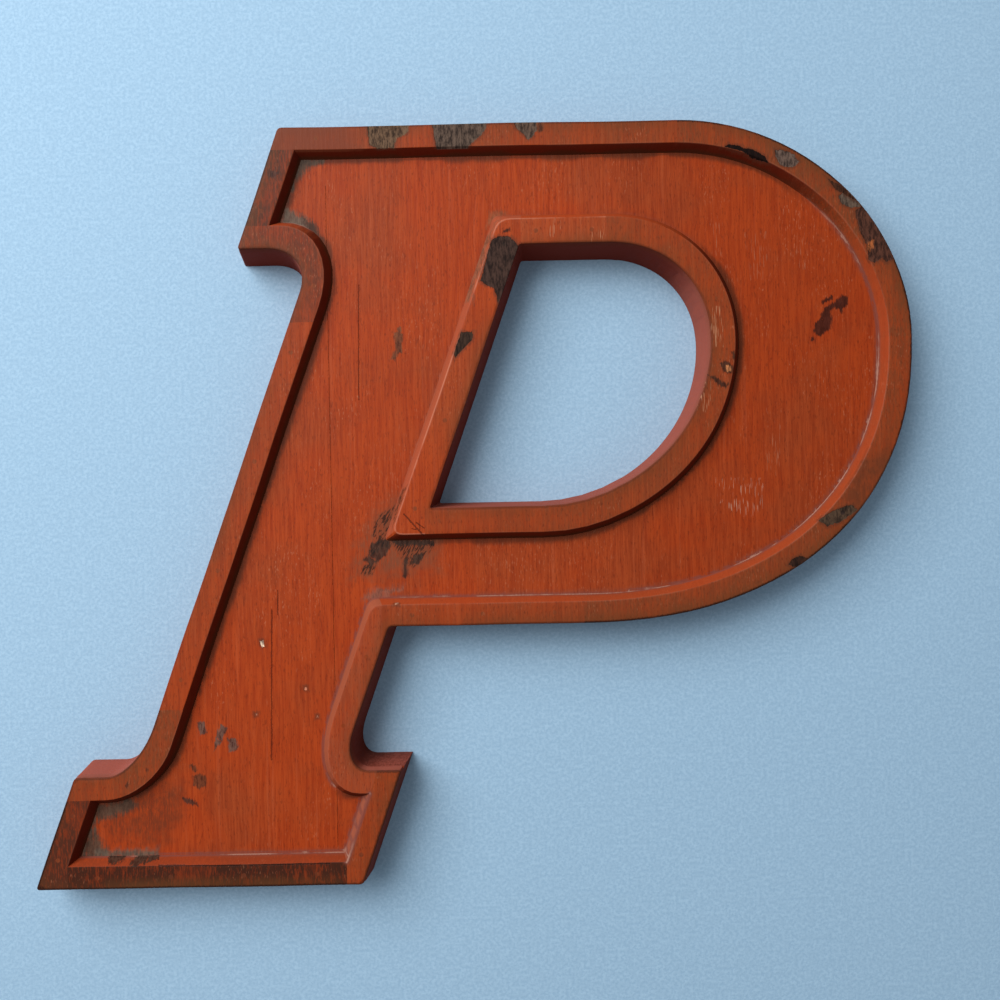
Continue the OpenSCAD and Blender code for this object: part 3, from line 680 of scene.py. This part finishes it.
painted("board_right", height=PANEL, brown=0.16, soil=(96, 38, 17), depth=0.8, marks=[
    ("stain", (48, 24, 18), [
        stroke((145, 75), (150.6, 78.6), 1.1),
        [(140.4, 67.2), (141.4, 65.4), (143.4, 65), (147.4, 68.3), (145.4, 72.4), (143.2, 72.5),
         (141.1, 70.5)],
        [(143.2, 72.5), (147.4, 68.3), (147.9, 73.6), (147.3, 76.5), (144.9, 76.1), (143.6, 74.5)],
        [(144.1, 79), (144.3, 78.2), (145.3, 78.5), (148.2, 79.7), (148.6, 81.3), (145.4, 80.4)],
        [(148.6, 78.1), (149.7, 76.2), (151.6, 76), (153.4, 76.6), (154.5, 77.8), (154.9, 79.6),
         (154.7, 81), (152.3, 81.7), (150.2, 80.1)],
        [(151, 76.4), (151.3, 74), (151.9, 73.9), (152.2, 76.8)]]),
    ("stain", (50, 26, 22), [stroke((140.2, 64.2), (140.2, 63), 0.7)]),
    ("flecks", (166, 104, 76), [
        [(99, 112), (105, 112), (104, 98), (99, 99)], [(113, 108), (124, 108), (121, 88), (114, 89)],
        [(134, 107), (139, 107), (138.5, 92), (134.5, 92)],
        [(120, 38), (127, 38), (126, 8), (120, 10)]]),
    ("flecks", (200, 160, 135), [
        [(100, 8), (119, 8), (118, -8), (108, -7), (100, -1)]]),
])

# The strips round the letter: planed pine, planted on the panel's edge with glue and brads
# and sawn flush with the letter's wall. Hands and knocks have browned and chipped them.
painted("rim_top", brown=0.42, arris_dirt=0.45, arris_line=0.5, marks=[
    ("haze", (110, 52, 32), [
        [(-92, 158), (-44, 158), (-44, 138), (-92, 138)]]),
    ("chip", (92, 72, 56), [
        [(-39.3, 153.5), (-38.7, 149.1), (-37.8, 144.8), (-35, 143.2), (-28.2, 143.2),
         (-26.1, 149.2), (-26.4, 153.2)],
        [(-27.2, 153.3), (-26.5, 147.2), (-22.5, 149.6), (-22.4, 153.2)]]),
    ("chip", (80, 66, 57), [
        [(-12.7, 153.8), (-11.7, 145.7), (-10.8, 140.9), (-4.9, 140.8), (0.7, 142.3), (5.2, 146.2),
         (8.9, 150.2), (9.8, 154.6)]]),
    ("chip", (82, 66, 56), [
        [(20.2, 153.6), (21, 150.5), (25.9, 145.6), (29.2, 148.2), (29.9, 153.8)]]),
    ("stain", (92, 52, 32), [
        [(29.5, 153.4), (29.7, 147.7), (32.2, 148.9), (33.1, 153.3)]]),
])
painted("rim_bowl_upper", brown=0.6, arris_dirt=0.6, arris_line=0.9, marks=[
    # Painted shade: a near-black split in the wall, its dark gap painted on and not modelled.
    ("wall_chip", (24, 11, 8), [
        [(104.8, 141.2), (111.6, 139.2), (115.6, 138), (111.6, 141.2), (106.8, 142.2)],
        [(111, 140.4), (114.7, 137.2), (122, 134.6), (121.4, 136.6), (115.6, 140)]]),
    ("chip", (86, 70, 62), [
        [(124.8, 139.7), (125, 136.9), (126.7, 134), (129.7, 132.2), (132.7, 132.7),
         (134.4, 134.7), (132, 137.7), (129.6, 139)]]),
    ("chip", (80, 66, 56), [
        [(150.2, 119.9), (151.3, 117.5), (154.9, 115.6), (161, 116.3), (153.9, 123.3)]]),
    ("chip", (62, 36, 24), [
        [(145.9, 127.4), (149, 123), (151.5, 124.5)],
        [(149, 123), (157, 118.8), (151.5, 124.5)]]),
    ("chip", (72, 44, 34), [
        [(156.3, 114.2), (158, 107.5), (160.7, 101.4), (168.6, 93.6), (172.6, 95.2),
         (170.7, 102.4), (166.1, 110.2), (159.6, 116.1)],
        [(161.5, 100.2), (161.8, 95), (164.1, 93.3), (166.6, 94.9), (167.1, 99.7)]]),
    ("stain", (150, 84, 46), [
        [(161.2, 98.6), (162, 97.8), (163.5, 99.8), (163.7, 102.4), (161.9, 101.8)]]),
])
painted("rim_bowl_lower", brown=0.5, arris_dirt=0.5, arris_line=0.9, marks=[
    ("haze", (88, 48, 29), [
        [(151, 2), (157, 13.5), (167, 18), (170, 10), (163, -2), (153, -7)]]),
    ("chip", (68, 52, 40), [
        [(139.7, -9.5), (143.2, -12.4), (150.1, -9.3), (155, -5.8), (153, -3.7), (146.2, -5.6)]]),
    ("chip", (50, 31, 23), [
        [(127.3, -27.2), (130.5, -28.4), (135.2, -24.9), (131.7, -23.8), (128.9, -25)]]),
])
painted("rim_arm", brown=0.3, arris_dirt=0.4, arris_line=0.5, marks=[
    ("chip", (176, 128, 104), [stroke((-30.9, -38.6), (-30.9, -40.2), 0.6)]),
])
painted("rim_stem_right", brown=0.3, soil=(124, 74, 52), arris_dirt=0.4, arris_line=0.5,
        lip_line=0.1, lit_wall=(152, 82, 58), wall_dust=0.8)
painted("rim_foot_right", brown=0.35, arris_dirt=0.6, arris_line=0.7, lip_line=0.2,
        lit_wall=(154, 90, 70), wall_dust=0.7)
painted("rim_base", brown=0.88, soil=(62, 31, 19), arris_dirt=0.8, arris_line=0.9, lip_line=0,
        marks=[
    ("wall_crack", (46, 20, 12), [
        stroke((-128.2, -143.3), (-95, -143.9), 0.22), stroke((-92, -143.8), (-59.4, -143.8), 0.12)]),
    ("wall_stain", (52, 42, 34), [
        [(-150.1, -142.2), (-147.8, -142.8), (-142.8, -141.9), (-143.8, -139.7), (-149.8, -139.4)],
        [(-140.3, -142), (-140.2, -143), (-137.4, -143.4), (-133.8, -142.5), (-133.7, -139.7),
         (-138.1, -140)],
        [(-133.8, -142.5), (-129.3, -141.4), (-129.7, -140.1), (-133.7, -139.7)]]),
])
painted("rim_foot_left", brown=0.88, soil=(76, 38, 24), arris_dirt=0.8, arris_line=0.9, marks=[
    ("crack", (52, 24, 14), [stroke((-165.8, -115.7), (-155.3, -115.3), 0.15)]),
])
painted("rim_bracket_left", brown=0.55, arris_dirt=0.5, arris_line=0.6, marks=[
    ("stain", (70, 36, 24), [
        stroke((-140.6, -110.4), (-139.8, -110.9), 0.6), stroke((-132.6, -104.8), (-132, -105.2), 0.5)]),
])
painted("rim_stem_left", brown=0.25, arris_dirt=0.35, arris_line=0.25)
painted("rim_bracket_head", brown=0.56, soil=(88, 46, 30), arris_dirt=0.4, arris_line=0.4)
painted("rim_head", brown=0.76, soil=(78, 42, 28), arris_dirt=0.6, arris_line=0.6, marks=[
    ("stain", (66, 42, 34), [
        [(-78.8, 135.4), (-78.6, 132.5), (-76.2, 132.1), (-75, 134.5)]]),
])

# The strips round the counter: planted the same way, each butted against the next. The one
# beside the stem is widest and has the deepest chip.
painted("counter_rim_stem", brown=0.1, soil=(138, 76, 42), lip_line=0.6, arris_dirt=0.35,
        arris_line=0.4, lit_wall=(160, 82, 58), wall_dust=0.7, marks=[
    ("wall_dust", (122, 78, 58), [
        [(11.9, 112), (0.9, 80.8), (-2.6, 80.8), (8.4, 112), (10.6, 117.4), (15.4, 116)]]),
    ("wall_splinters", (46, 30, 22), [
        [(-26.2, 7), (-28.7, -0.2), (-31.8, -8.7), (-31.6, -12.6), (-36, -14.6), (-32.4, -5),
         (-29, 3.8)]]),
    ("chip", (58, 42, 36), [
        [(5.5, 89.3), (11.1, 86), (15.7, 87.7), (20.8, 102.5), (18.1, 106.8), (13.7, 107.1),
         (10.7, 105.9), (8.3, 99.1)],
        [(10.9, 86.6), (12.6, 80.2), (15.8, 88.5)]]),
    ("stain", (34, 20, 14), [stroke((14.4, 108.8), (17.8, 109.6), 0.7)]),
    ("chip", (52, 38, 30), [
        [(-5.7, 60.4), (-5.1, 58.8), (1.6, 65.3), (2.5, 68.5), (-2.4, 69)]]),
    ("crack", (58, 24, 15), [
        stroke((-27, -3.9), (-19.1, -12.9), 0.2), stroke((-22.2, -7.4), (-18.4, -10), 0.1),
        stroke((-24, -9.9), (-20.6, -10.5), 0.08)]),
    ("flecks", (76, 34, 22), [
        [(-25, -4), (-16, -4), (-15.4, -12.5), (-20, -11.5)]]),
])
painted("counter_rim_top", brown=0.25, soil=(138, 78, 46), lip_line=0.4, arris_dirt=0.35,
        arris_line=0.4, marks=[
    ("flecks", (200, 146, 110), [
        [(33, 114), (39, 114), (39, 106), (33, 106)], [(50, 110), (56, 110), (56, 105), (50, 105)]]),
])
painted("counter_rim_bowl", brown=0.42, arris_dirt=0.35, arris_line=0.4, marks=[
    ("stain", (56, 36, 26), [
        [(105.6, 58.7), (106.3, 54.7), (107.6, 56.2), (107.2, 59.5)],
        [(101.1, 54.3), (102.6, 50.7), (105.8, 49.8), (106.7, 53), (103.9, 55.1)],
        [(96.6, 49.4), (100.1, 45.5), (103.5, 44.3), (104.1, 45.4), (98.6, 49.2)]]),
    ("stain", (170, 110, 70), [
        [(103.5, 53.1), (103.8, 51.1), (105.5, 51.1), (105.5, 52.9)]]),
    ("flecks", (200, 146, 110), [
        [(97.5, 77), (102.5, 77), (102.5, 61), (98, 61)], [(92, 47), (98, 47), (96, 34), (91, 36)]]),
])
painted("counter_rim_arm", brown=0.35, arris_dirt=0.35, arris_line=0.4)

# The brads: fine steel nails driven flush through the strips and painted over with them.
# Two stand in bare chips and show dark steel.
BARE_BRADS = [[(13.5, 102.2), (17, 102.2), (17, 105.4), (13.5, 105.4)],
              [(147.5, -8.3), (151, -8.3), (151, -5.1), (147.5, -5.1)]]

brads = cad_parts["rim_brads"]
brad_paint = Paint("painted_brad_heads")
brad_paint.coat(0.55)
brad_paint.mark("haze", (78, 42, 27), [
    [(-176, -156), (-36, -156), (-36, -142), (-158, -112), (-164, -112)],
    [(-96, 110), (-80, 108), (-58, 146), (-80, 146)]], FACE)
brad_paint.mark("chip", (58, 44, 38), BARE_BRADS, FACE)
material = brad_paint.done()
for i in range(max(1, len(brads.material_slots))):
    if brads.material_slots:
        brads.material_slots[i].material = material
    else:
        brads.data.materials.append(material)
